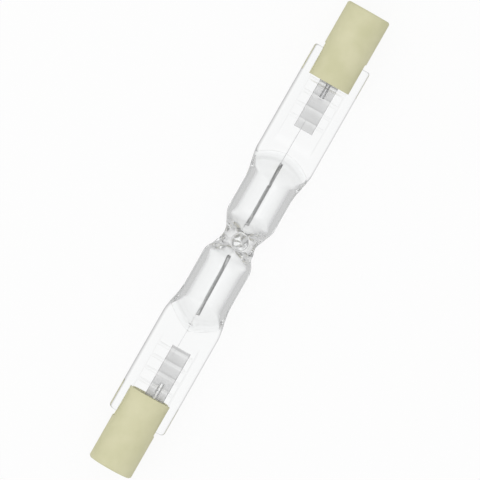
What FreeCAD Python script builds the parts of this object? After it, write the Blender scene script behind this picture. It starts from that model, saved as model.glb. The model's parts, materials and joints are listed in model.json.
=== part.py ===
# Double-ended linear halogen bulb, 78 mm size, lying along X with its exhaust tip up.
# Millimetres. The origin is on the bulb's axis, midway between the cap ends.
# +X runs to the right cap, Y lies in the plane of the flat pinches, +Z is up.
import FreeCAD, Part
import math
import os

Vec = FreeCAD.Vector

# Whole lamp
overall_length = 78.3

# Ceramic caps
cap_diameter = 7.1
cap_length = 12.3
cap_slot_depth = 5.1              # open slot that straddles the pinch
cap_end_chamfer = 0.25
recess_diameter = 3.8             # mouth that the lampholder's contact enters
recess_depth = 1.7                # down to the contact face
pin_pocket_depth = 2.5            # hollow behind the slot, for the bent pin

# Metal contacts, shaped like a blind rivet
contact_head_diameter = 3.3
contact_head_thickness = 0.45
contact_shank_diameter = 1.5
contact_shank_reach = 0.05        # past the ceramic, into the pin's pocket
contact_crown_thickness = 0.3     # metal between the pin's end and the contact face
contact_clearance = 0.05          # round the head and the shank

# Cement that holds each cap on its pinch
cement_gap = 0.1                  # each side of the pinch, in the cap's slot
cement_end_gap = 0.75             # between the pinch's end and the slot's floor
cement_setback = 0.3              # in from the cap's skin

# Quartz tube with its two chambers
chamber_diameter = 7.86
tube_wall = 1.05

# Waist that parts the chambers
waist_centre = -0.15
waist_depth = 1.25                # below the top of the chambers
waist_slope = 27.5                # degrees from the axis
waist_hollow_radius = 3.3
waist_crest_radius = 3.2
channel_diameter = 0.8            # gas way left through the collapsed glass
channel_half_length = 1.3
funnel_slope = 50.0               # degrees from the axis

# Exhaust tip, sealed off on top of the waist
tip_diameter = 2.7
tip_setback = 0.08                # below the top of the chambers
tip_stem_rise = 0.13              # straight stem above the highest point of its foot
tip_fillet_radius = 0.5
tip_void_diameter = 0.9
tip_glass_thickness = 0.8         # over the end of its void

# Flat pinch seals, pressed from the tube between two jaws
pinch_width = 9.4
pinch_thickness = 2.3
pinch_corner_radius = 0.9
left_pinch_length = 18.2          # from where the tube starts to flatten
right_pinch_length = 19.2
flare_lead = 3.4                  # the tube widens from here before its chamber's end
flare_length = 4.86
press_lead = 3.3                  # the jaws bite from here before the chamber's end
press_slope = 42.0
press_crest_radius = 5.5
press_hollow_radius = 3.0
press_relief = 0.05               # the jaws stand this far off the round tube
cavity_tip_thickness = 0.2        # of the gas space, where the press closes it
cavity_nose = 2.8                 # the gas space ends this far past the chamber's end
left_nose_depth = 2.4             # of its rounded end, in plan
right_nose_depth = 1.8
pocket_start_margin = 0.3
pocket_end_margin = 0.9
pocket_side_margin = 1.45         # glass left as a thicker edge beside the pocket
pocket_depth = 0.15
pocket_slope_run = 0.3
rib_pitch = 2.03
rib_length = 5.8
rib_height = 0.12
rib_radius = 0.3
left_rib_lead = 0.7               # first rib, past the foil's inner end
right_rib_lead = 1.3

# Sealing foils
foil_width = 3.05
foil_thickness = 0.04
foil_end_margin = 3.9             # glass between the foil and the pinch's end
left_foil_cover = 2.7             # glass between the hollow and the foil
right_foil_cover = 4.1
left_foil_offset = -0.65          # off the axis, along Y
right_foil_offset = -0.12

# Lead pins
pin_diameter = 0.7
pin_weld_length = 2.95            # laid on the foil
pin_crank_length = 1.6            # along the axis, from its foil's line to the axis
pin_crank_lead = 0.3              # straight run past the slot's floor
pin_clearance = 0.2               # round the bent pin in its pocket

# Filament, one wire wound into two coils
coil_diameter = 0.48
wire_thickness = 0.14             # the wire is square
coil_pitch = 0.56
left_coil_start = 2.75            # from the middle
right_coil_start = 2.35
left_coil_end_gap = 2.8           # from the coil's end to the hollow's nose
right_coil_end_gap = 1.9
leg_weld_length = 1.6             # laid on the foil

# Limits of construction
arc_share = 0.95                  # of a slope's rise, at most, that its two arcs take
coil_chords = 6                   # straight chords in each turn
join_tolerance = 0.001

# Values that follow
cap_radius = cap_diameter / 2
half_length = overall_length / 2
cap_inner_end = half_length - cap_length
slot_floor = cap_inner_end + cap_slot_depth
slot_width = pinch_thickness + 2 * cement_gap
contact_face = half_length - recess_depth
head_seat = contact_face - contact_head_thickness
pin_pocket_end = slot_floor + pin_pocket_depth
shank_end = pin_pocket_end - contact_shank_reach
pinch_end = slot_floor - cement_end_gap
tube_radius = chamber_diameter / 2
bore_radius = tube_radius - tube_wall
waist_radius = tube_radius - waist_depth
channel_radius = channel_diameter / 2
pinch_half_width = pinch_width / 2
pinch_half_thickness = pinch_thickness / 2
pocket_floor = pinch_half_thickness - pocket_depth
tip_radius = tip_diameter / 2
tip_top = tube_radius - tip_setback
tip_foot_rise = waist_hollow_radius - math.sqrt(waist_hollow_radius ** 2 - tip_radius ** 2)
tip_rim = waist_radius + tip_foot_rise + tip_stem_rise
pin_radius = pin_diameter / 2
pin_height = foil_thickness / 2 + pin_radius
leg_height = foil_thickness / 2 + wire_thickness / 2
coil_mean_radius = (coil_diameter - wire_thickness) / 2
leg_offset = math.sqrt(max(coil_mean_radius ** 2 - leg_height ** 2, 0))
pin_end = contact_face - contact_crown_thickness
pin_reach = max(math.hypot(left_foil_offset, pin_height), math.hypot(right_foil_offset, pin_height))
pin_pocket_radius = pin_reach + pin_radius + pin_clearance

sides = {
    "left": {
        "pinch_length": left_pinch_length,
        "nose_depth": left_nose_depth,
        "foil_cover": left_foil_cover,
        "foil_offset": left_foil_offset,
        "rib_lead": left_rib_lead,
        "coil_start": left_coil_start,
        "coil_end_gap": left_coil_end_gap,
    },
    "right": {
        "pinch_length": right_pinch_length,
        "nose_depth": right_nose_depth,
        "foil_cover": right_foil_cover,
        "foil_offset": right_foil_offset,
        "rib_lead": right_rib_lead,
        "coil_start": right_coil_start,
        "coil_end_gap": right_coil_end_gap,
    },
}
for side in sides.values():
    side["chamber_end"] = pinch_end - side["pinch_length"]
    side["nose"] = side["chamber_end"] + cavity_nose
    side["flare_start"] = side["chamber_end"] - flare_lead
    side["foil_inner"] = side["nose"] + side["foil_cover"]
    side["foil_outer"] = pinch_end - foil_end_margin
    side["coil_end"] = side["nose"] - side["coil_end_gap"]


# Every side piece is drawn towards +X and mirrored for the left.
def on_side(shape, name):
    if name == "left":
        return shape.mirror(Vec(0, 0, 0), Vec(1, 0, 0))
    return shape


def rod(x0, x1, radius, y=0.0, z=0.0):
    return Part.makeCylinder(radius, x1 - x0, Vec(x0, y, z), Vec(1, 0, 0))


def slab(x0, x1, width, height):
    return Part.makeBox(x1 - x0, width, height, Vec(x0, -width / 2, -height / 2))


# A smooth change of level in the XZ plane: an arc, a straight slope and an arc back.
def ramp(start, height, slope, first_radius, second_radius):
    angle = math.radians(slope)
    lift = 1 - math.cos(angle)
    limit = min(1.0, arc_share * abs(height) / ((first_radius + second_radius) * lift))
    first = first_radius * limit
    second = second_radius * limit
    line = (abs(height) - (first + second) * lift) / math.sin(angle)
    up = math.copysign(1.0, height)

    def step(radius, turn):
        return Vec(radius * math.sin(turn), 0, up * radius * (1 - math.cos(turn)))

    slope_start = start + step(first, angle)
    slope_end = slope_start + Vec(line * math.cos(angle), 0, up * line * math.sin(angle))
    end = slope_end + step(second, angle)
    edges = [
        Part.Arc(start, start + step(first, angle / 2), slope_start).toShape(),
        Part.makeLine(slope_start, slope_end),
        Part.Arc(slope_end, end - step(second, angle / 2), end).toShape(),
    ]
    return edges, end


# Arc from one point to another that meets the axis squarely at its second end.
def nose_arc(rim, tip):
    depth = tip.x - rim.x
    radius = (depth ** 2 + rim.z ** 2) / (2 * depth)
    half_angle = math.asin(min(1.0, rim.z / radius)) / 2
    middle = tip - Vec(radius * (1 - math.cos(half_angle)), 0, -radius * math.sin(half_angle))
    return Part.Arc(rim, middle, tip).toShape()


# Half outlines start above the waist's centre, so the right one starts at its offset.
def waist_shift(name):
    return waist_centre if name == "right" else -waist_centre


# Where a straight slope from one level reaches another.
def slope_end(start, level, slope):
    return Vec(start.x + abs(level - start.z) / math.tan(math.radians(slope)), 0, level)


def outline_edges(points):
    return [Part.makeLine(a, b) for a, b in zip(points, points[1:])]


# Outside of the glass: waist, chamber, flare, and the pinch's edge seen in plan.
def glass_outline(side, shift):
    edges, crest = ramp(Vec(shift, 0, waist_radius), tube_radius - waist_radius,
                        waist_slope, waist_hollow_radius, waist_crest_radius)
    flare = Vec(side["flare_start"], 0, tube_radius)
    wide = Vec(flare.x + flare_length, 0, pinch_half_width)
    foot = Vec(pinch_end, 0, 0)
    edges += outline_edges([crest, flare, wide, Vec(pinch_end, 0, pinch_half_width), foot])
    return edges, foot


# Gas space: channel, funnel, chamber, flare, and its rounded nose seen in plan.
def gas_outline(side, shift):
    start = Vec(shift, 0, channel_radius)
    mouth = start + Vec(channel_half_length, 0, 0)
    crest = slope_end(mouth, bore_radius, funnel_slope)
    flare = Vec(side["flare_start"], 0, bore_radius)
    tip = Vec(side["nose"], 0, 0)
    rim = Vec(tip.x - side["nose_depth"], 0, pinch_half_width - tube_wall)
    return outline_edges([start, mouth, crest, flare, rim]) + [nose_arc(rim, tip)], tip


# Both halves of an outline, closed along the axis and turned, with the seam underneath.
def turned_glass(outline):
    edges = []
    feet = []
    for name, side in sides.items():
        half, foot = outline(side, waist_shift(name))
        edges += [on_side(edge, name) for edge in half]
        feet.append(Vec(foot.x if name == "right" else -foot.x, 0, 0))
    edges.append(Part.makeLine(*feet))
    face = Part.Face(Part.Wire(Part.sortEdges(edges)[0]))
    face.rotate(Vec(0, 0, 0), Vec(1, 0, 0), 180)
    return face.revolve(Vec(0, 0, 0), Vec(1, 0, 0), 360)


# One jaw above the glass: level over the tube, then down a smooth ramp and level again.
def jaw(start, level, slope_edges, end):
    far = Vec(half_length, 0, end.z)
    top = pinch_width
    edges = [Part.makeLine(start, level)] if level.x > start.x else []
    edges += slope_edges
    edges += [
        Part.makeLine(end, far),
        Part.makeLine(far, Vec(far.x, 0, top)),
        Part.makeLine(Vec(far.x, 0, top), Vec(start.x, 0, top)),
        Part.makeLine(Vec(start.x, 0, top), start),
    ]
    face = Part.Face(Part.Wire(Part.sortEdges(edges)[0]))
    face.translate(Vec(0, -pinch_width, 0))
    return face.extrude(Vec(0, 2 * pinch_width, 0))


# The press runs down one ramp outside. The gas space has the same ramp, a wall's thickness deeper,
# so the wall keeps its thickness on the slope.
def press_jaw(side, radius, end_half_thickness, depth):
    level = Vec(side["chamber_end"] - press_lead, 0, radius + press_relief)
    start = Vec(min(side["flare_start"], level.x), 0, level.z)
    edges, end = ramp(level, end_half_thickness - level.z,
                      press_slope, press_crest_radius - depth, press_hollow_radius + depth)
    return jaw(start, level, edges, end), end.x


# Cutters that round the pinch's two end corners in plan.
def corner_cutters():
    r = pinch_corner_radius
    cutters = []
    for y in (-1, 1):
        centre = Vec(pinch_end - r, y * (pinch_half_width - r), -pinch_thickness)
        block = Part.makeBox(2 * r, 2 * r, 2 * pinch_thickness, centre + Vec(0, min(0, 2 * y * r), 0))
        cutters.append(block.cut(Part.makeCylinder(r, 2 * pinch_thickness, centre)))
    return cutters


# Shallow pressed pocket with four sloped sides, over the upper face of the pinch.
def pocket(pinch_start):
    x0 = pinch_start + pocket_start_margin + pocket_slope_run
    x1 = pinch_end - pocket_end_margin - pocket_slope_run
    half = pinch_half_width - pocket_side_margin - pocket_slope_run
    spread = 2 * pocket_slope_run
    cutter = Part.makeWedge(
        x0, 0, -half, -half - spread, x0 - spread,
        x1, 2 * pocket_depth, half, half + spread, x1 + spread)
    cutter.rotate(Vec(0, 0, 0), Vec(1, 0, 0), 90)
    cutter.translate(Vec(0, 0, pocket_floor))
    return cutter


def ribs(side):
    bars = []
    first = side["foil_inner"] + side["rib_lead"]
    for i in range(math.floor((side["foil_outer"] - first) / rib_pitch) + 1):
        x = first + rib_pitch * i
        base = Vec(x, -rib_length / 2, pocket_floor + rib_height - rib_radius)
        bars.append(Part.makeCylinder(rib_radius, rib_length, base, Vec(0, 1, 0)))
    return bars


def upper_and_lower(shape):
    return [shape, shape.mirror(Vec(0, 0, 0), Vec(0, 0, 1))]


# The exhaust tip: a round stem with a domed end.
def tip_stem():
    crown_height = tip_top - tip_rim
    crown_radius = (tip_radius ** 2 + crown_height ** 2) / (2 * crown_height)
    half_angle = math.asin(tip_radius / crown_radius) / 2
    rim = Vec(tip_radius, 0, tip_rim)
    apex = Vec(0, 0, tip_top)
    middle = apex + Vec(crown_radius * math.sin(half_angle), 0, crown_radius * (math.cos(half_angle) - 1))
    base = Vec(tip_radius, 0, 0)
    edges = outline_edges([apex, Vec(0, 0, 0), base, rim]) + [Part.Arc(rim, middle, apex).toShape()]
    stem = Part.Face(Part.Wire(edges)).revolve(Vec(0, 0, 0), Vec(0, 0, 1), 360)
    stem.translate(Vec(waist_centre, 0, 0))
    return stem


# The foot of the tip is the closed curve where its stem leaves the waist.
def tip_foot(shape):
    foot = []
    for edge in shape.Edges:
        if edge.Degenerated:
            continue
        points = edge.discretize(9)
        on_stem = all(abs(math.hypot(p.x - waist_centre, p.y) - tip_radius) < join_tolerance for p in points)
        low = all(p.z < tip_rim - join_tolerance for p in points)
        if on_stem and low and edge.BoundBox.XLength + edge.BoundBox.YLength > join_tolerance:
            foot.append(edge)
    return foot


# The whole outside of the glass, with its pinches and its exhaust tip, as if it were solid.
def glass_form():
    form = turned_glass(glass_outline)
    jaws = []
    pockets = []
    marks = []
    for name, side in sides.items():
        cutter, pinch_start = press_jaw(side, tube_radius, pinch_half_thickness, 0)
        jaws += upper_and_lower(on_side(cutter, name))
        pockets += upper_and_lower(on_side(pocket(pinch_start), name))
        jaws += [on_side(cutter, name) for cutter in corner_cutters()]
        for bar in ribs(side):
            marks += upper_and_lower(on_side(bar, name))
    form = form.fuse(tip_stem())
    form = form.makeFillet(tip_fillet_radius, tip_foot(form))
    return form.cut(jaws).cut(pockets).fuse(marks)


def gas_space():
    hollow = turned_glass(gas_outline)
    jaws = []
    for name, side in sides.items():
        cutter, _ = press_jaw(side, bore_radius, cavity_tip_thickness / 2, tube_wall)
        jaws += upper_and_lower(on_side(cutter, name))
    void = Part.makeCylinder(tip_void_diameter / 2, tip_top - tip_glass_thickness, Vec(waist_centre, 0, 0))
    return hollow.cut(jaws).fuse(void)


def foil(side):
    length = side["foil_outer"] - side["foil_inner"]
    corner = Vec(side["foil_inner"], side["foil_offset"] - foil_width / 2, -foil_thickness / 2)
    return Part.makeBox(length, foil_width, foil_thickness, corner)


# The pin lies on its foil, leaves the glass, and is cranked over to the axis inside the cap.
def lead_pin(side):
    inner = Vec(side["foil_outer"] - pin_weld_length, side["foil_offset"], pin_height)
    crank = Vec(slot_floor + pin_crank_lead, side["foil_offset"], pin_height)
    points = [inner, crank, Vec(crank.x + pin_crank_length, 0, 0), Vec(pin_end, 0, 0)]
    section = Part.Wire(Part.Circle(inner, Vec(1, 0, 0), pin_radius).toShape())
    return Part.makePolygon(points).makePipeShell([section], True, False, 1)


# Corners of the wire's section where its coil has turned by an angle round the axis.
def wire_corners(x, angle):
    corners = []
    for outward, along in ((-1, -1), (-1, 1), (1, 1), (1, -1)):
        radius = coil_mean_radius + outward * wire_thickness / 2
        edge_x = x + along * wire_thickness / 2
        corners.append(Vec(edge_x, radius * math.cos(angle), radius * math.sin(angle)))
    return corners


# One coil from x0 to x1: a whole number of turns, so both ends lie on the legs' line.
# Each chord has a flat inner and outer side; its two twisted sides are split in triangles.
def coil(x0, x1):
    steps = round((x1 - x0) / coil_pitch) * coil_chords
    leg_angle = math.atan2(leg_height, leg_offset)
    rings = []
    for i in range(steps + 1):
        rings.append(wire_corners(x0 + (x1 - x0) * i / steps, leg_angle + 2 * math.pi * i / coil_chords))
    outlines = [rings[0], rings[-1]]
    for a, b in zip(rings, rings[1:]):
        outlines += [
            [a[0], a[1], b[1], b[0]], [a[2], a[3], b[3], b[2]],
            [a[1], a[2], b[2]], [a[1], b[2], b[1]],
            [a[3], a[0], b[0]], [a[3], b[0], b[3]],
        ]
    skin = Part.makeShell([Part.Face(Part.makePolygon(points + points[:1])) for points in outlines])
    skin.sewShape()
    return Part.makeSolid(skin)


# A straight stretch of the wire, along the line of the legs.
def straight_wire(x0, x1):
    half = wire_thickness / 2
    corner = Vec(x0, leg_offset - half, leg_height - half)
    return Part.makeBox(x1 - x0, wire_thickness, wire_thickness, corner)


# Legs run from the foils to the coils' outer ends, and one stretch crosses the waist.
def filament_legs():
    left, right = sides["left"], sides["right"]
    overlap = wire_thickness / 2
    return [
        straight_wire(-left["foil_inner"] - leg_weld_length, -left["coil_end"] + overlap),
        straight_wire(-left["coil_start"] - overlap, right["coil_start"] + overlap),
        straight_wire(right["coil_end"] - overlap, right["foil_inner"] + leg_weld_length),
    ]


def filament():
    left, right = sides["left"], sides["right"]
    left_coil = coil(-left["coil_end"], -left["coil_start"])
    right_coil = coil(right["coil_start"], right["coil_end"])
    return left_coil.fuse([right_coil] + filament_legs())


def cap():
    body = rod(cap_inner_end, half_length, cap_radius)
    rim = [edge for edge in body.Edges if edge.BoundBox.XMin > half_length - join_tolerance]
    body = body.makeChamfer(cap_end_chamfer, rim)
    return body.cut([
        slab(cap_inner_end, slot_floor, cap_diameter, slot_width),
        rod(slot_floor, pin_pocket_end, pin_pocket_radius),
        rod(pin_pocket_end, head_seat, contact_shank_diameter / 2 + contact_clearance),
        rod(head_seat, contact_face, contact_head_diameter / 2 + contact_clearance),
        rod(contact_face, half_length, recess_diameter / 2),
    ])


def contact():
    head = rod(head_seat, contact_face, contact_head_diameter / 2)
    shank = rod(shank_end, head_seat, contact_shank_diameter / 2)
    return head.fuse(shank).cut(rod(shank_end, pin_end, pin_radius))


# Cement fills the cap's slot round the pinch and behind its end.
def cement(name, glass, pin):
    start = cap_inner_end + cement_setback
    plug = rod(start, slot_floor, cap_radius - cement_setback)
    slot = slab(start, slot_floor, cap_diameter, slot_width)
    return on_side(plug.common(slot), name).cut([glass, pin])


def build():
    nodes = {}
    glass = glass_form()
    nodes["filament"] = filament()
    inside = [gas_space()] + filament_legs()
    for name, side in sides.items():
        pin = on_side(lead_pin(side), name)
        nodes[name + "_foil"] = on_side(foil(side), name)
        nodes[name + "_lead_pin"] = pin
        nodes[name + "_cap"] = on_side(cap(), name)
        nodes[name + "_contact"] = on_side(contact(), name)
        nodes[name + "_cement"] = cement(name, glass, pin)
        inside += [nodes[name + "_foil"], pin]
    nodes["quartz_envelope"] = glass.cut(inside)
    return nodes


os.makedirs("parts", exist_ok=True)
for name, shape in build().items():
    solid = shape.Solids[0]
    print(name, len(shape.Solids), solid.isValid(), round(solid.Volume, 3))
    solid.exportStep(f"parts/{name}.step")
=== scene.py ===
import bisect
import json
import math

import bmesh
import bpy
from mathutils import Matrix, Vector, noise

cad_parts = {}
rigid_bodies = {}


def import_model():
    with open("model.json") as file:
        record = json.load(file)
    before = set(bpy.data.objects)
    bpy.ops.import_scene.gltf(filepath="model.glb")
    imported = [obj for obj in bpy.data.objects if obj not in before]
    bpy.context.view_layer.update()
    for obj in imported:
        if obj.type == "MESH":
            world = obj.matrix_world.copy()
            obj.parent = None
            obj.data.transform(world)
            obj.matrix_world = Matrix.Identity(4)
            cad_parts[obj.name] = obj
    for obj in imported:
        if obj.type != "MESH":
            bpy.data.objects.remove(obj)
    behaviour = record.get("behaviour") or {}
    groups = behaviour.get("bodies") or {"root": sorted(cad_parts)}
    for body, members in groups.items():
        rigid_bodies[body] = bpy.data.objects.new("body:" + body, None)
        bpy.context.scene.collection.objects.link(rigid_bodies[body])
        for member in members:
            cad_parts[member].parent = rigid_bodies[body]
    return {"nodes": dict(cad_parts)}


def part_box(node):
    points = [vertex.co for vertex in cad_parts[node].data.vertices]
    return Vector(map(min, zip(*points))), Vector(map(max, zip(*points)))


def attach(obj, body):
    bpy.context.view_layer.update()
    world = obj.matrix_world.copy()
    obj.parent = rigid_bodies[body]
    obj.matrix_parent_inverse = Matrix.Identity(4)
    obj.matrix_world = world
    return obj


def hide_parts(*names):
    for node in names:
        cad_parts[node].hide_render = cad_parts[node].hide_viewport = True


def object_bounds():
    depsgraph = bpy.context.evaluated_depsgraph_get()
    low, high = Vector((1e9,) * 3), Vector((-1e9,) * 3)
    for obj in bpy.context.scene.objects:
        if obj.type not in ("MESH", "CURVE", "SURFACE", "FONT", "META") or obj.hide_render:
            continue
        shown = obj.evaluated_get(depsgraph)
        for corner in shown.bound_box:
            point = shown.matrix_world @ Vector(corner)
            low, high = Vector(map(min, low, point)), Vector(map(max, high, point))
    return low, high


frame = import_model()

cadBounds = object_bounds()
nodes = frame["nodes"]
scene = bpy.context.scene
mm = 0.001
mergeGap = 0.0005           # in mm, for points that meet
print("frame loaded with", len(nodes), "nodes")


# shared tools for meshes

def boxInMm(node):
    low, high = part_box(node)
    return low / mm, high / mm


def spread(start, end, step):  # even values from start to end, both included
    count = max(1, math.ceil((end - start) / step))
    return [start + (end - start) * i / count for i in range(count + 1)]


def roundedRun(start, radius, steps):  # values that follow a quarter circle to its end
    return [start + radius * math.sin(math.pi / 2 * i / steps) for i in range(steps + 1)]


def smoothShare(value):
    value = min(max(value, 0), 1)
    return value * value * (3 - 2 * value)


def softLimit(value, limit, blend):  # the lesser of two values, with a rounded corner between them
    gap = limit - value
    if gap >= blend:
        return value
    if gap <= -blend:
        return limit
    return value - (blend - gap) ** 2 / (4 * blend)


def rampArcs(ramp):  # the slope in radians, and the radii of its two arcs, fitted to the rise
    angle = math.radians(ramp["slope"])
    radii = ramp["firstRadius"] + ramp["lastRadius"]
    fit = min(1, 0.95 * ramp["rise"] / (radii * (1 - math.cos(angle))))
    return angle, ramp["firstRadius"] * fit, ramp["lastRadius"] * fit


def rampHeight(run, ramp):  # an arc, a straight slope and an arc back to level
    angle, first, last = rampArcs(ramp)
    bend = 1 - math.cos(angle)
    firstRun = first * math.sin(angle)
    lineRun = (ramp["rise"] - (first + last) * bend) / math.tan(angle)
    left = firstRun + lineRun + last * math.sin(angle) - run
    if run <= 0:
        return 0
    if run < firstRun:
        return first - math.sqrt(first ** 2 - run ** 2)
    if run < firstRun + lineRun:
        return first * bend + (run - firstRun) * math.tan(angle)
    if left > 0:
        return ramp["rise"] - last + math.sqrt(last ** 2 - left ** 2)
    return ramp["rise"]


def rampLength(ramp):
    angle, first, last = rampArcs(ramp)
    radii = first + last
    bend = 1 - math.cos(angle)
    return radii * math.sin(angle) + (ramp["rise"] - radii * bend) / math.tan(angle)


def rolledTube(stations, segments, pointAt):  # a grid rolled round X, closed at both ends
    bm = bmesh.new()
    last = len(stations) - 1
    bmesh.ops.create_grid(bm, x_segments=last, y_segments=segments, size=1)
    for vert in bm.verts:
        station = stations[round((vert.co.x + 1) / 2 * last)]
        vert.co = pointAt(station, (vert.co.y + 1) * math.pi) * mm
    bmesh.ops.remove_doubles(bm, verts=bm.verts, dist=mergeGap * mm)
    bmesh.ops.holes_fill(bm, edges=[edge for edge in bm.edges if edge.is_boundary])
    bmesh.ops.recalc_face_normals(bm, faces=bm.faces)
    return bm


def turnedPost(outline, centre, segments):  # radii and heights, turned round a vertical line
    bm = bmesh.new()
    verts = [bm.verts.new(Vector((radius, 0, height)) * mm) for radius, height in outline]
    edges = [bm.edges.new(pair) for pair in zip(verts, verts[1:])]
    bmesh.ops.spin(bm, geom=verts + edges, cent=(0, 0, 0), axis=(0, 0, 1), dvec=(0, 0, 0),
                   angle=2 * math.pi, steps=segments, use_merge=True)
    bmesh.ops.remove_doubles(bm, verts=bm.verts, dist=mergeGap * mm)
    bmesh.ops.recalc_face_normals(bm, faces=bm.faces)
    bmesh.ops.translate(bm, verts=bm.verts, vec=Vector((centre, 0, 0)) * mm)
    return bm


def newPiece(name, bm, smooth=True):
    mesh = bpy.data.meshes.new(name)
    bm.to_mesh(mesh)
    bm.free()
    piece = bpy.data.objects.new(name, mesh)
    scene.collection.objects.link(piece)
    for face in mesh.polygons:
        face.use_smooth = smooth
    return piece


def ringParts(ring):  # a ring of points with its edges and its face, ready for a sweep
    edges = {edge for vert in ring for edge in vert.link_edges}
    faces = {face for vert in ring for face in vert.link_faces}
    return ring + list(edges) + list(faces)


def joinedForms(first, second):  # one closed skin round both
    modifier = first.modifiers.new("join", "BOOLEAN")
    modifier.object = second
    modifier.operation = "UNION"
    modifier.solver = "EXACT"
    shape = first.evaluated_get(bpy.context.evaluated_depsgraph_get())
    bm = bmesh.new()
    bm.from_mesh(bpy.data.meshes.new_from_object(shape))
    for spare in (first, second):
        bpy.data.objects.remove(spare)
    return bm


# clear quartz body

quartz = {
    "chamberRadius": 3.93,
    "wall": 1.05,           # round the chambers
    "waistCentre": -0.15,
    "waist": {"rise": 1.25, "slope": 27.5, "firstRadius": 3.3, "lastRadius": 3.2},
    "channelRadius": 0.4,
    "channelHalf": 1.4,
    "funnelSlope": 57,      # in plan
    "funnelBlend": 0.7,
    "funnelRise": 38,       # the slope over and under it, which starts nearer the waist
    "funnelRiseHalf": 0.85,
    "funnelRiseBlend": 0.2,
    "leftChamberEnd": 13.0,
    "rightChamberEnd": 12.0,
    "flareLead": 3.4,
    "flareLength": 5.2,
    "gasFlareLead": 2.6,
    "gasFlareLength": 3.8,
    "press": {"rise": 2.83, "slope": 42, "firstRadius": 5.5, "lastRadius": 3.0},
    "pressLead": 3.3,
    "pressRelief": 0.05,
    "pinchHalfThickness": 1.15,
    "edgeBlend": 1.1,       # rounding along the pinch's long edges
    "leftCornerRadius": 0.6,    # in plan, at the pinch's end
    "rightCornerRadius": 0.4,
    "endRadius": 0.35,      # over the pinch's end
    "gasPress": {"rise": 2.83, "slope": 42, "firstRadius": 4.45, "lastRadius": 4.05},
    "gasPressLead": 0.25,   # it starts this far ahead of the outside's
    "gasBlend": 0.5,
    "noseLead": 2.55,       # the gas space goes on this far past its chamber
    "noseWall": 0.55,       # beside the nose
    "leftNoseDepth": 2.4,
    "rightNoseDepth": 1.7,
    "leftNosePower": 0.72,  # 0.5 is a round nose and 1 a pointed one
    "rightNosePower": 0.5,
    "noseBlend": 0.3,
    "pocketDepth": 0.15,
    "pocketSide": 3.25,
    "pocketRun": 0.3,
    "pocketLead": 1.6,
    "pocketStartMargin": 0.3,
    "pocketEndMargin": 0.9,
    "ribCount": 4,
    "ribPitch": 2.03,
    "leftRib": 19.2,        # first rib from the middle
    "rightRib": 20.2,
    "ribHalfWidth": 0.28,
    "ribHeight": 0.12,
    "ribSide": 2.9,
    "ribCrown": 1.25,       # over 1, the rib's top has a flat
    "segments": 192,
    "gasSegments": 112,
}
pinchEnd = boxInMm("quartz_envelope")[1].x
pinchHalfWidth = boxInMm("quartz_envelope")[1].y
boreRadius = quartz["chamberRadius"] - quartz["wall"]
waistRadius = quartz["chamberRadius"] - quartz["waist"]["rise"]


drawnGlass = {  # what makes the glass uneven: each patch has a middle, half length, depth and grain
    "skin": [(-0.15, 3.4, 0.16, 0.8), (-0.15, 2.8, 0.05, 1.6)],
    "gas": [(-0.15, 3.6, 0.14, 1.1), (-14.6, 1.2, 0.12, 2.3), (14.2, 1.2, 0.02, 1.5)],
    "patchFade": 1.6,       # over 1, a patch is whole round its middle
    "grainOffset": Vector((7.3, 2.1, 5.7)),
    "axisClearance": 0.3,   # points nearer to the axis stay
    "waistDrop": 0.1,       # off line at the waist, along Y
    "waistDropHalf": 3.5,
    "noseFolds": (-14.9, 1.2, 0.55, 1.9),   # at the left nose, the depth a share of its height
    "foldLevel": 4.2,
}


def patchShare(x, middle, half):
    fade = drawnGlass["patchFade"]
    return smoothShare(fade - fade * abs(x - middle) / half)


def uneven(point, surface):  # draws a point in or out by a smooth random amount
    push = 0
    for middle, half, depth, grain in drawnGlass[surface]:
        share = patchShare(point.x, middle, half)
        if share > 0:
            push += depth * share * noise.noise(point * grain + drawnGlass["grainOffset"])
    radial = Vector((0, point.y, point.z))
    if push == 0 or radial.length < drawnGlass["axisClearance"]:
        return point
    drop = smoothShare(1 - abs(point.x - quartz["waistCentre"]) / drawnGlass["waistDropHalf"])
    return point + radial.normalized() * push - Vector((0, drawnGlass["waistDrop"] * drop, 0))


def atSide(x, name):  # the left or the right side's own value
    return quartz[("right" if x > quartz["waistCentre"] else "left") + name]


def chamberEnd(x):
    return atSide(x, "ChamberEnd")


def pinchStart(x):
    return chamberEnd(x) - quartz["pressLead"] + rampLength(quartz["press"])


def pressRun(x, y):  # from where the press starts; its jaws are hollowed to the nose's outline
    across = min(abs(y) / (pinchHalfWidth - quartz["noseWall"]), 1)
    setback = atSide(x, "NoseDepth") * across ** (1 / atSide(x, "NosePower"))
    return abs(x) - chamberEnd(x) + quartz["pressLead"] + setback


def facePress(x, y):  # how far the jaw's pattern stands into the pinch's face
    run = quartz["pocketRun"]
    reach = abs(x)
    start = pinchStart(x) + quartz["pocketStartMargin"]
    end = pinchEnd - quartz["pocketEndMargin"]
    depth = quartz["pocketDepth"] * smoothShare((reach - start) / quartz["pocketLead"])
    depth *= smoothShare((end - reach) / run)
    depth *= smoothShare((quartz["pocketSide"] - abs(y)) / run)
    nearest = (reach - atSide(x, "Rib")) / quartz["ribPitch"]
    if -0.5 < nearest < quartz["ribCount"] - 0.5:
        offset = abs(nearest - round(nearest)) * quartz["ribPitch"] / quartz["ribHalfWidth"]
        ribShare = smoothShare(quartz["ribCrown"] * (1 - offset))
        ribShare *= smoothShare((quartz["ribSide"] - abs(y)) / run + 0.5)
        depth -= quartz["ribHeight"] * ribShare
    return depth


def roundedOff(past, radius):  # how far a quarter circle has come in
    return radius - math.sqrt(max(radius ** 2 - past ** 2, 0)) if past > 0 else 0


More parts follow.
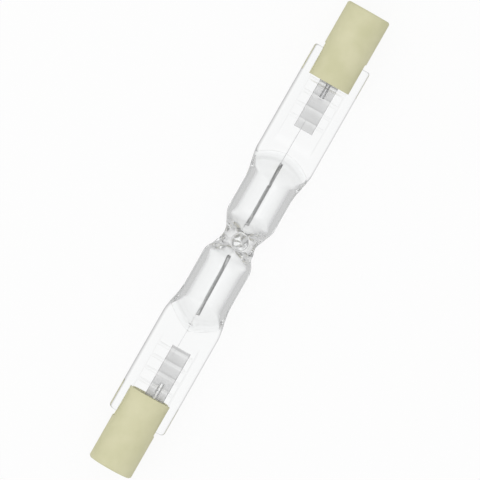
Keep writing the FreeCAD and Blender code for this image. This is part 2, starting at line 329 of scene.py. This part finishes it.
def glassPoint(x, angle):
    reach = abs(x)
    radius = waistRadius + rampHeight(abs(x - quartz["waistCentre"]), quartz["waist"])
    flare = smoothShare((reach - chamberEnd(x) + quartz["flareLead"]) / quartz["flareLength"])
    width = radius + (pinchHalfWidth - quartz["chamberRadius"]) * flare
    pressed = rampHeight(pressRun(x, width * math.cos(angle)), quartz["press"])
    height = quartz["pinchHalfThickness"] + quartz["press"]["rise"] - pressed
    blend = quartz["edgeBlend"] * pressed / quartz["press"]["rise"] + 0.001     # never nought
    corner = atSide(x, "CornerRadius")
    width -= roundedOff(reach - pinchEnd + corner, corner)
    height -= roundedOff(reach - pinchEnd + quartz["endRadius"], quartz["endRadius"])
    y = width * math.cos(angle)
    z = softLimit(abs(width * math.sin(angle)), height, blend)
    z -= facePress(x, y) * smoothShare(z / height * 4 - 3)      # not on the pinch's sides
    return Vector((x, y, math.copysign(z, math.sin(angle))))


def gasNose(x):
    return chamberEnd(x) + quartz["noseLead"]


def funnelRadius(x, half, slope):  # from the chamber's bore down to the channel through the waist
    climb = (abs(x - quartz["waistCentre"]) - half) * math.tan(math.radians(slope))
    blend = quartz["funnelBlend"]
    return softLimit(-softLimit(-climb, 0, blend / 2) + quartz["channelRadius"], boreRadius, blend)


def gasPoint(x, angle):
    reach = abs(x)
    radius = funnelRadius(x, quartz["channelHalf"], quartz["funnelSlope"])
    rise = funnelRadius(x, quartz["funnelRiseHalf"], quartz["funnelRise"])
    depth = softLimit(rise, radius, quartz["funnelRiseBlend"])
    fullWidth = pinchHalfWidth - quartz["noseWall"]
    flare = smoothShare((reach - chamberEnd(x) + quartz["gasFlareLead"]) / quartz["gasFlareLength"])
    width = radius + (fullWidth - boreRadius) * flare
    ahead = max(gasNose(x) - reach, 0) / atSide(x, "NoseDepth")
    noseWidth = fullWidth * ahead ** atSide(x, "NosePower")
    width = softLimit(width, noseWidth, min(quartz["noseBlend"], ahead / 2) + 1e-6)
    run = pressRun(x, width * math.cos(angle)) + quartz["gasPressLead"]
    closed = rampHeight(run, quartz["gasPress"])
    height = boreRadius + quartz["pressRelief"] - closed
    blend = min(quartz["gasBlend"] * closed / quartz["gasPress"]["rise"], height / 2) + 1e-6
    y = width * math.cos(angle)
    z = softLimit(abs(width * math.sin(angle)) * depth / radius, height, blend)
    middle, half, folds, grain = drawnGlass["noseFolds"]
    folds *= patchShare(x, middle, half)
    z *= 1 + folds * noise.noise(Vector((x, y, drawnGlass["foldLevel"])) * grain)
    return uneven(Vector((x, y, math.copysign(z, math.sin(angle)))), "gas")


stationSteps = {  # along X, how far apart the outlines of the quartz body stand in each stretch
    "waist": 0.12,
    "waistHalf": 4.2,       # the stretch's end, from the middle
    "chamber": 0.5,
    "flare": 0.17,
    "pinch": 0.5,
    "pocketEdge": 0.1,
    "pocketEdgeRun": 0.9,
    "pocketEnd": (29.8, 30.3),
    "rib": 0.06,
    "ribMargin": 0.05,
    "cornerCount": 10,
    "endCount": 6,
    "least": 0.012,         # a nearer outline is left out
    "gasWaist": 0.1,
    "gasWaistHalf": 4,
    "gasChamber": 0.45,
    "gasPress": 0.1,
    "gasPressLead": 3.5,
    "noseCount": 24,
    "gasLeast": 0.006,
}


def glassStations():
    steps = stationSteps
    endStart, endStop = steps["pocketEnd"]
    stations = []
    for sign in (-1, 1):
        flareStart = chamberEnd(sign) - quartz["flareLead"]
        flatStart = pinchStart(sign)
        flatRun = flatStart + steps["pocketEdgeRun"]
        half = quartz["ribHalfWidth"] + steps["ribMargin"]
        corner = atSide(sign, "CornerRadius")
        edge = quartz["endRadius"]
        reaches = spread(0, steps["waistHalf"], steps["waist"])
        reaches += spread(steps["waistHalf"], flareStart, steps["chamber"])
        reaches += spread(flareStart, flatStart, steps["flare"])
        reaches += spread(flatStart, flatRun, steps["pocketEdge"])
        reaches += spread(flatRun, endStart, steps["pinch"])
        for i in range(quartz["ribCount"]):
            rib = atSide(sign, "Rib") + i * quartz["ribPitch"]
            reaches += spread(rib - half, rib + half, steps["rib"])
        reaches += spread(endStart, endStop, steps["pocketEdge"])
        reaches += roundedRun(pinchEnd - corner, corner, steps["cornerCount"])
        reaches += roundedRun(pinchEnd - edge, edge, steps["endCount"])
        stations += [sign * reach for reach in reaches]
    return thinned(stations, steps["least"])


def gasStations():
    steps = stationSteps
    stations = []
    for sign in (-1, 1):
        depth = atSide(sign, "NoseDepth")
        noseStart = gasNose(sign) - depth
        pressStart = chamberEnd(sign) - steps["gasPressLead"]
        reaches = spread(0, steps["gasWaistHalf"], steps["gasWaist"])
        reaches += spread(steps["gasWaistHalf"], pressStart, steps["gasChamber"])
        reaches += spread(pressStart, noseStart, steps["gasPress"])
        reaches += roundedRun(noseStart, depth, steps["noseCount"])
        stations += [sign * reach for reach in reaches]
    return thinned(stations, steps["gasLeast"])


def thinned(values, least):  # sorted, with no two nearer than the least gap, and both ends kept
    values = sorted(values)
    kept = [values[0]]
    for value in values[1:-1]:
        if value - kept[-1] >= least and values[-1] - value >= least:
            kept.append(value)
    return kept + [values[-1]]


exhaustTip = {
    "radius": 1.35,
    "top": 3.85,
    "rim": 3.1,
    "step": 0.1,
    "crownSteps": 12,
    "segments": 72,
    "footBlend": 0.5,       # either side of the foot, what is smoothed
    "footTop": 3.2,
    "footRounds": 10,
    "voidRadius": 0.4,
    "voidTop": 1.3,
    "voidStep": 0.12,
    "voidCrownSteps": 8,
    "voidSegments": 40,
}


def tipOutline():
    crown = exhaustTip["top"] - exhaustTip["rim"]
    radius = exhaustTip["radius"]
    domeRadius = (radius ** 2 + crown ** 2) / (2 * crown)
    limit = math.asin(radius / domeRadius)
    outline = [(0, 0)] + [(radius, z) for z in spread(0, exhaustTip["rim"], exhaustTip["step"])]
    for angle in spread(0, limit, limit / exhaustTip["crownSteps"])[1:]:
        turn = limit - angle
        drop = domeRadius * (1 - math.cos(turn))
        outline.append((domeRadius * math.sin(turn), exhaustTip["top"] - drop))
    return outline


def voidOutline():
    radius = exhaustTip["voidRadius"]
    shoulder = exhaustTip["voidTop"] - radius
    outline = [(0, 0)] + [(radius, z) for z in spread(0, shoulder, exhaustTip["voidStep"])]
    for angle in spread(0, math.pi / 2, math.pi / 2 / exhaustTip["voidCrownSteps"])[1:]:
        outline.append((radius * math.cos(angle), shoulder + radius * math.sin(angle)))
    return outline


def glassBody():
    outside = newPiece("outside", rolledTube(glassStations(), quartz["segments"], glassPoint))
    stem = newPiece("stem", turnedPost(tipOutline(), quartz["waistCentre"], exhaustTip["segments"]))
    bm = joinedForms(outside, stem)
    foot = []
    for vert in bm.verts:
        x, y, z = [value / mm for value in vert.co]
        away = math.hypot(x - quartz["waistCentre"], y) - exhaustTip["radius"]
        if 0 < z < exhaustTip["footTop"] and abs(away) < exhaustTip["footBlend"]:
            foot.append(vert)
    for _ in range(exhaustTip["footRounds"]):
        bmesh.ops.smooth_vert(bm, verts=foot, factor=0.5,
                              use_axis_x=True, use_axis_y=True, use_axis_z=True)
    for vert in bm.verts:
        vert.co = uneven(vert.co / mm, "skin") * mm
    hollow = newPiece("hollow", rolledTube(gasStations(), quartz["gasSegments"], gasPoint))
    bore = turnedPost(voidOutline(), quartz["waistCentre"], exhaustTip["voidSegments"])
    gas = joinedForms(hollow, newPiece("passage", bore))
    bmesh.ops.reverse_faces(gas, faces=gas.faces)       # the inner wall faces the gas
    spare = bpy.data.meshes.new("gas")
    gas.to_mesh(spare)
    gas.free()
    bm.from_mesh(spare)
    return newPiece("quartzBody", bm)


quartzBody = glassBody()
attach(quartzBody, "root")
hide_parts("quartz_envelope")
print("quartz body:", len(quartzBody.data.polygons), "faces")


# filament

filament = {
    "coilRadius": 0.265,
    "wireRadius": 0.056,
    "leftLegRadius": 0.015,
    "rightLegRadius": 0.024,
    "pitch": 0.18,
    "leftCoil": (-12.7, -2.75),
    "rightCoil": (2.25, 12.6),
    "legY": 0.144,
    "legZ": 0.09,
    "turnSteps": 14,
    "wireSides": 7,
    "legSides": 12,
    "legStep": 0.15,
    "weldSink": 0.075,      # the legs' ends are pressed into the foils
    "weldRun": 0.5,
    # places along X, and how far off line the wire is there along Y
    "sag": [(-20, 0), (-13, -0.13), (-3, 0.04), (2, 0.08), (13, 0.14), (20.5, 0.1)],
}


def addCoil(bm, start, end):
    turns = round((end - start) / filament["pitch"])
    steps = turns * filament["turnSteps"]
    ring = bmesh.ops.create_circle(bm, segments=filament["wireSides"], cap_ends=True,
                                   radius=filament["wireRadius"] * mm)["verts"]
    bmesh.ops.rotate(bm, verts=ring, cent=(0, 0, 0), matrix=Matrix.Rotation(math.pi / 2, 3, "X"))
    seat = math.hypot(filament["legY"], filament["legZ"]) / filament["coilRadius"]
    centre = Vector((start, filament["legY"] / seat, filament["legZ"] / seat)) * mm
    turn = Matrix.Rotation(math.atan2(centre.z, centre.y), 3, "X")
    bmesh.ops.rotate(bm, verts=ring, cent=(0, 0, 0), matrix=turn)
    bmesh.ops.translate(bm, verts=ring, vec=centre)
    bmesh.ops.spin(bm, geom=ringParts(ring), cent=(0, 0, 0), axis=(1, 0, 0),
                   dvec=((end - start) / steps * mm, 0, 0), angle=2 * math.pi * turns,
                   steps=steps, use_merge=False)


def addLeg(bm, start, end, radius):
    places = spread(start, end, filament["legStep"])
    leg = bmesh.ops.create_circle(bm, segments=filament["legSides"], cap_ends=True,
                                  radius=radius * mm)["verts"]
    bmesh.ops.rotate(bm, verts=leg, cent=(0, 0, 0), matrix=Matrix.Rotation(math.pi / 2, 3, "Y"))
    bmesh.ops.translate(bm, verts=leg, vec=Vector((start, filament["legY"], filament["legZ"])) * mm)
    bmesh.ops.spin(bm, geom=ringParts(leg), cent=(0, 0, 0), axis=(1, 0, 0),
                   dvec=((places[1] - places[0]) * mm, 0, 0), angle=0,
                   steps=len(places) - 1, use_merge=False)


def sagAt(x):
    places = filament["sag"]
    after = min(max(bisect.bisect(places, (x, 0)), 1), len(places) - 1)
    (x0, y0), (x1, y1) = places[after - 1], places[after]
    return y0 + (y1 - y0) * min(max((x - x0) / (x1 - x0), 0), 1)


def filamentWire():
    bm = bmesh.new()
    addCoil(bm, *filament["leftCoil"])
    addCoil(bm, *filament["rightCoil"])
    low, high = boxInMm("filament")
    addLeg(bm, low.x, filament["leftCoil"][0], filament["leftLegRadius"])
    addLeg(bm, filament["leftCoil"][1], filament["rightCoil"][0], filament["rightLegRadius"])
    addLeg(bm, filament["rightCoil"][1], high.x, filament["rightLegRadius"])
    foilEnds = boxInMm("left_foil")[1].x, boxInMm("right_foil")[0].x
    for vert in bm.verts:
        over = max(foilEnds[0] - vert.co.x / mm, vert.co.x / mm - foilEnds[1])
        vert.co.y += sagAt(vert.co.x / mm) * mm
        vert.co.z -= filament["weldSink"] * smoothShare(over / filament["weldRun"] + 1) * mm
    bmesh.ops.recalc_face_normals(bm, faces=bm.faces)
    return newPiece("filamentWire", bm)


coiledWire = filamentWire()
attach(coiledWire, "root")
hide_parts("filament")
print("filament:", len(coiledWire.data.polygons), "faces")


# materials

def newMaterial(name):
    material = bpy.data.materials.new(name)
    material.use_nodes = True
    return material, material.node_tree, material.node_tree.nodes["Principled BSDF"]


def addNode(tree, kind, values={}, **settings):
    node = tree.nodes.new(kind)
    for key, value in settings.items():
        setattr(node, key, value)
    for key, value in values.items():
        node.inputs[key].default_value = value
    return node


def addNoise(tree, scale, detail=3, stretch=(1, 1, 1)):
    place = addNode(tree, "ShaderNodeTexCoord")
    mapping = addNode(tree, "ShaderNodeMapping", {"Scale": stretch})
    texture = addNode(tree, "ShaderNodeTexNoise", {"Scale": scale, "Detail": detail})
    tree.links.new(place.outputs["Object"], mapping.inputs["Vector"])
    tree.links.new(mapping.outputs["Vector"], texture.inputs["Vector"])
    return texture.outputs["Fac"]


def addRamp(tree, source, stops):  # places along the ramp with their colours
    ramp = addNode(tree, "ShaderNodeValToRGB")
    while len(ramp.color_ramp.elements) < len(stops):
        ramp.color_ramp.elements.new(0.5)
    for element, (place, colour) in zip(ramp.color_ramp.elements, stops):
        element.position = place
        element.color = (*colour, 1)
    tree.links.new(source, ramp.inputs["Fac"])
    return ramp.outputs["Color"]


def greys(stops):
    return [(place, [level] * 3) for place, level in stops]


def addMath(tree, operation, *values):  # each value is a number or another node's output
    node = addNode(tree, "ShaderNodeMath", operation=operation)
    for socket, value in zip(node.inputs, values):
        if isinstance(value, (int, float)):
            socket.default_value = value
        else:
            tree.links.new(value, socket)
    return node.outputs["Value"]


def addWhite(tree, kind, strength):
    return addNode(tree, kind, {"Color": (1, 1, 1, 1), "Strength": strength}).outputs[0]


def mixShaders(tree, share, first, second):  # the second is seen where the share is 1
    mix = addNode(tree, "ShaderNodeMixShader")
    tree.links.new(share, mix.inputs["Fac"])
    tree.links.new(first, mix.inputs[1])
    tree.links.new(second, mix.inputs[2])
    return mix.outputs["Shader"]


def addBump(tree, shader, source, depth):
    bump = addNode(tree, "ShaderNodeBump", {"Strength": 1.0, "Distance": depth * mm})
    tree.links.new(source, bump.inputs["Height"])
    tree.links.new(bump.outputs["Normal"], shader.inputs["Normal"])


clearGlass = {
    "tint": (0.972, 0.977, 0.977),
    "index": 1.458,
    "roughness": 0.0,
    "shadowTint": (0.9, 0.9, 0.9),
    "ripple": 0.002,
    "rippleScale": 700,
}


def clearQuartz():
    material, tree, shader = newMaterial("clearQuartz")
    shader.inputs["Base Color"].default_value = (*clearGlass["tint"], 1)
    shader.inputs["Roughness"].default_value = clearGlass["roughness"]
    shader.inputs["IOR"].default_value = clearGlass["index"]
    shader.inputs["Transmission Weight"].default_value = 1
    addBump(tree, shader, addNoise(tree, clearGlass["rippleScale"]), clearGlass["ripple"])
    shadow = addNode(tree, "ShaderNodeLightPath").outputs["Is Shadow Ray"]
    through = addNode(tree, "ShaderNodeBsdfTransparent", {"Color": (*clearGlass["shadowTint"], 1)})
    glass = mixShaders(tree, shadow, shader.outputs["BSDF"], through.outputs["BSDF"])
    tree.links.new(glass, tree.nodes["Material Output"].inputs["Surface"])
    return material


ceramicLook = {
    "light": (0.680, 0.657, 0.433),
    "dark": (0.615, 0.600, 0.372),
    "roughness": 0.62,
    "grain": 5200,
    "grainDepth": 0.012,
    "mottle": 260,
}


def paleCeramic():
    material, tree, shader = newMaterial("paleCeramic")
    patches = addNoise(tree, ceramicLook["mottle"], 5)
    colour = addRamp(tree, patches, [(0.35, ceramicLook["dark"]), (0.65, ceramicLook["light"])])
    tree.links.new(colour, shader.inputs["Base Color"])
    shader.inputs["Roughness"].default_value = ceramicLook["roughness"]
    addBump(tree, shader, addNoise(tree, ceramicLook["grain"], 4), ceramicLook["grainDepth"])
    return material


# dark and light colours, roughness, and the scale, stretch and depth of the marks
metals = {
    "tungstenWire": ([0.30] * 3, [0.46] * 3, 0.45, 3000, (1, 1, 1), 0.004),
    # painted light: the left pin is a lighter copy of the right pin's metal
    "leftPinMetal": ([0.80] * 3, [0.93] * 3, 0.38, 2500, (0.1, 1, 1), 0.004),
    "rightPinMetal": ((0.55, 0.55, 0.56), (0.72, 0.72, 0.73), 0.38, 2500, (0.1, 1, 1), 0.004),
    "contactMetal": ((0.60, 0.59, 0.56), (0.68, 0.67, 0.64), 0.3, 2600, (1, 1, 1), 0.002),
}


def wornMetal(name):
    dark, light, roughness, scale, stretch, depth = metals[name]
    material, tree, shader = newMaterial(name)
    marks = addNoise(tree, scale, 4, stretch)
    tree.links.new(addRamp(tree, marks, [(0.3, dark), (0.7, light)]), shader.inputs["Base Color"])
    shader.inputs["Metallic"].default_value = 1
    shader.inputs["Roughness"].default_value = roughness
    addBump(tree, shader, marks, depth)
    return material


foilLook = {
    "creasePitch": 2.03,
    "leftCrease": -21.2,    # where the first painted crease band starts
    "rightCrease": 22.15,
    # painted highlight and shade: the brightness from one crease to the next, lightest near the
    # glass ribs over the foil
    "paintedCreaseShades": [(0, 0.68), (0.08, 0.61), (0.2, 0.47), (0.3, 0.53),
                (0.6, 0.56), (0.9, 0.60), (1, 0.68)],
    "leftShades": (0.5, 0.66),      # painted shade along the low and the high edge
    "rightShades": (0.74, 0.74),
    "edgeWidth": 0.14,
    "roughness": 0.3,
    "streaks": 900,
    "streakStretch": (1, 0.2, 1),
    "streakShade": 0.9,
    "streakDepth": 0.003,
}


def foilWithPaintedShading(name):
    material, tree, shader = newMaterial(name + "FoilMetal")
    low, high = boxInMm(name + "_foil")
    place = addNode(tree, "ShaderNodeTexCoord")
    parts = addNode(tree, "ShaderNodeSeparateXYZ")
    tree.links.new(place.outputs["Object"], parts.inputs["Vector"])
    start = foilLook[name + "Crease"] * mm
    turns = addNode(tree, "ShaderNodeMapRange", {
        "From Min": start, "From Max": start + foilLook["creasePitch"] * mm}, clamp=False)
    tree.links.new(parts.outputs["X"], turns.inputs["Value"])
    phase = addMath(tree, "FRACT", turns.outputs["Result"])
    # painted highlight and shade of the creases, in bands along X
    colour = addRamp(tree, phase, greys(foilLook["paintedCreaseShades"]))
    across = addNode(tree, "ShaderNodeMapRange", {"From Min": low.y * mm, "From Max": high.y * mm})
    tree.links.new(parts.outputs["Y"], across.inputs["Value"])
    # painted shade: darker bands along the foil's low and high edges
    rim = foilLook["edgeWidth"] / (high.y - low.y)
    lowShade, highShade = foilLook[name + "Shades"]
    shades = greys([(0, lowShade), (rim, 1), (1 - rim, 1), (1, highShade)])
    edges = addRamp(tree, across.outputs["Result"], shades)
    marks = addNoise(tree, foilLook["streaks"], 4, foilLook["streakStretch"])
    streaks = addRamp(tree, marks, greys([(0.3, foilLook["streakShade"]), (0.7, 1)]))
    for layer in (edges, streaks):
        mix = addNode(tree, "ShaderNodeMix", {0: 1.0}, data_type="RGBA", blend_type="MULTIPLY")
        tree.links.new(colour, mix.inputs[6])
        tree.links.new(layer, mix.inputs[7])
        colour = mix.outputs[2]
    tree.links.new(colour, shader.inputs["Base Color"])
    shader.inputs["Metallic"].default_value = 1
    shader.inputs["Roughness"].default_value = foilLook["roughness"]
    addBump(tree, shader, marks, foilLook["streakDepth"])
    return material


cementLook = {
    "light": (0.93, 0.92, 0.87),
    "dark": (0.80, 0.79, 0.74),
    "paintedGlow": 0.22,           # painted light: the cement glows a little, in place of light that would reach it through the ceramic
    "roughness": 0.9,
    "grain": 3000,
    "grainDepth": 0.03,
}


def roughCement():
    material, tree, shader = newMaterial("roughCement")
    grains = addNoise(tree, cementLook["grain"], 5)
    colour = addRamp(tree, grains, [(0.3, cementLook["dark"]), (0.7, cementLook["light"])])
    tree.links.new(colour, shader.inputs["Base Color"])
    # painted light: the cement glows in its own colour, though it is no lamp
    tree.links.new(colour, shader.inputs["Emission Color"])
    shader.inputs["Emission Strength"].default_value = cementLook["paintedGlow"]
    shader.inputs["Roughness"].default_value = cementLook["roughness"]
    addBump(tree, shader, grains, cementLook["grainDepth"])
    return material


def dress(piece, material):
    piece.data.materials.clear()
    piece.data.materials.append(material)


dress(quartzBody, clearQuartz())
dress(coiledWire, wornMetal("tungstenWire"))
ceramic = paleCeramic()
cement = roughCement()
contactMetal = wornMetal("contactMetal")
for name in ("left", "right"):
    dress(nodes[name + "_cap"], ceramic)
    dress(nodes[name + "_cement"], cement)
    dress(nodes[name + "_foil"], foilWithPaintedShading(name))
    dress(nodes[name + "_lead_pin"], wornMetal(name + "PinMetal"))
    dress(nodes[name + "_contact"], contactMetal)
print("materials set")


# floor, light and camera

studio = {
    "floorSize": 2000,
    "floorWhite": 0.86,
    "floorRoughness": 0.8,
    "floorSheen": 0.1,
    "floorGlow": 0.9,       # how far the floor is plain white to the camera
    "floorInGloss": 0.6,    # its level where something mirrors it
    "lampEnergy": 1.45,
    "lampSize": 0.9,
    "lampPlace": (-0.08, 0.17, 0.55),
    "roomLevel": 0.75,      # what lights the rough surfaces
    # degrees from straight down, and the level seen there through glass
    "skyLevels": [(0, 0.93), (8, 0.97), (12, 0.95), (20, 0.86), (30, 0.77), (45, 0.67),
                  (60, 0.56), (80, 0.56), (95, 0.7), (110, 0.75), (180, 0.8)],
    "turnedLevel": 0.6,     # below the horizon, where the glass has turned the light back once
    "deepLevels": [(0, 1.0), (25, 1.0), (40, 0.5), (60, 0.2), (85, 0.3),
                   (95, 0.7), (180, 0.8)],      # where it has done so more than once
}


def floorMaterial():  # glass sees the lit panel of the surroundings through the floor
    material, tree, shader = newMaterial("paleFloor")
    shader.inputs["Base Color"].default_value = (*[studio["floorWhite"]] * 3, 1)
    shader.inputs["Roughness"].default_value = studio["floorRoughness"]
    shader.inputs["Specular IOR Level"].default_value = studio["floorSheen"]
    light = addNode(tree, "ShaderNodeLightPath")
    dim = addWhite(tree, "ShaderNodeEmission", studio["floorInGloss"])
    clear = addNode(tree, "ShaderNodeBsdfTransparent").outputs["BSDF"]
    soft = addNode(tree, "ShaderNodeMixShader", {"Fac": studio["floorGlow"]})
    tree.links.new(shader.outputs["BSDF"], soft.inputs[1])
    tree.links.new(addWhite(tree, "ShaderNodeEmission", 1.0), soft.inputs[2])
    layers = shader.outputs["BSDF"]
    for ray, seen in (("Camera", soft.outputs["Shader"]), ("Glossy", dim), ("Transmission", clear)):
        layers = mixShaders(tree, light.outputs["Is " + ray + " Ray"], layers, seen)
    tree.links.new(layers, tree.nodes["Material Output"].inputs["Surface"])
    return material


def addFloor():
    bm = bmesh.new()
    bmesh.ops.create_grid(bm, x_segments=1, y_segments=1, size=studio["floorSize"] / 2 * mm)
    bmesh.ops.translate(bm, verts=bm.verts, vec=(0, 0, cadBounds[0][2]))
    floor = newPiece("floor", bm, smooth=False)
    dress(floor, floorMaterial())


def addSky():  # below the horizon, a round lit panel that fades outwards
    world = bpy.data.worlds.new("studioLight")
    scene.world = world
    world.use_nodes = True
    tree = world.node_tree
    tree.nodes.clear()
    light = addNode(tree, "ShaderNodeLightPath")
    place = addNode(tree, "ShaderNodeTexCoord")
    parts = addNode(tree, "ShaderNodeSeparateXYZ")
    height = addNode(tree, "ShaderNodeMapRange", {"From Min": -1, "From Max": 1})
    tree.links.new(place.outputs["Generated"], parts.inputs["Vector"])
    tree.links.new(parts.outputs["Z"], height.inputs["Value"])
    panels = []
    for levels in (studio["skyLevels"], studio["deepLevels"]):
        stops = greys([(0.5 - math.cos(math.radians(angle)) / 2, level) for angle, level in levels])
        panel = addNode(tree, "ShaderNodeBackground")
        tree.links.new(addRamp(tree, height.outputs["Result"], stops), panel.inputs["Color"])
        panels.append(panel.outputs["Background"])
    turned = addMath(tree, "COMPARE", light.outputs["Glossy Depth"], 1, 0.5)
    below = addMath(tree, "LESS_THAN", height.outputs["Result"], 0.5)
    dim = addWhite(tree, "ShaderNodeBackground", studio["turnedLevel"])
    layers = mixShaders(tree, addMath(tree, "MULTIPLY", turned, below), panels[0], dim)
    often = addMath(tree, "GREATER_THAN", light.outputs["Glossy Depth"], 1.5)
    layers = mixShaders(tree, often, layers, panels[1])
    room = addWhite(tree, "ShaderNodeBackground", studio["roomLevel"])
    white = addWhite(tree, "ShaderNodeBackground", 1.0)
    for ray, seen in (("Diffuse", room), ("Camera", white)):
        layers = mixShaders(tree, light.outputs["Is " + ray + " Ray"], layers, seen)
    output = addNode(tree, "ShaderNodeOutputWorld")
    tree.links.new(layers, output.inputs["Surface"])


def addLamp():
    lamp = bpy.data.lights.new("softbox", "AREA")
    lamp.energy = studio["lampEnergy"]
    lamp.size = studio["lampSize"]
    softbox = bpy.data.objects.new("softbox", lamp)
    scene.collection.objects.link(softbox)
    place = Vector(studio["lampPlace"])
    facing = place.to_track_quat("Z", "Y").to_matrix().to_4x4()
    softbox.matrix_world = Matrix.Translation(place) @ facing


view = {
    "distance": 800,        # from the bulb's middle
    "leanX": 2.05,          # degrees off the vertical, towards the right cap
    "leanY": 3.2,
    "turn": 60.3,           # the bulb's slope in the picture, in degrees
    "pixelsPerMm": 6.70,
    "imageSize": 480,
    "middlePixel": (239.3, 239.9),
    "sensorWidth": 36,
}


def addCamera():
    camera = bpy.data.cameras.new("photoCamera")
    camera.sensor_width = view["sensorWidth"]
    camera.lens = view["sensorWidth"] * view["distance"] * view["pixelsPerMm"] / view["imageSize"]
    camera.clip_start = 0.01
    eye = bpy.data.objects.new("photoCamera", camera)
    scene.collection.objects.link(eye)
    turn = math.radians(view["turn"])
    upright = Vector((math.sin(turn), math.cos(turn), 0))
    leans = [math.tan(math.radians(view[name])) for name in ("leanX", "leanY")]
    back = Vector((*leans, 1)).normalized()
    right = upright.cross(back).normalized()
    up = back.cross(right)
    half = view["imageSize"] / 2
    offset = [(half - pixel) / view["pixelsPerMm"] for pixel in view["middlePixel"]]
    place = back * view["distance"] + right * offset[0] - up * offset[1]
    axes = Matrix((right, up, back)).transposed().to_4x4()
    eye.matrix_world = Matrix.Translation(place * mm) @ axes
    scene.camera = eye


addFloor()
addSky()
addLamp()
addCamera()
scene.view_settings.view_transform = "Standard"
scene.cycles.max_bounces = 32
scene.cycles.transmission_bounces = 32
scene.cycles.glossy_bounces = 32
scene.cycles.diffuse_bounces = 16
scene.cycles.caustics_reflective = True
scene.cycles.caustics_refractive = True
scene.cycles.transparent_max_bounces = 24
print("studio set")
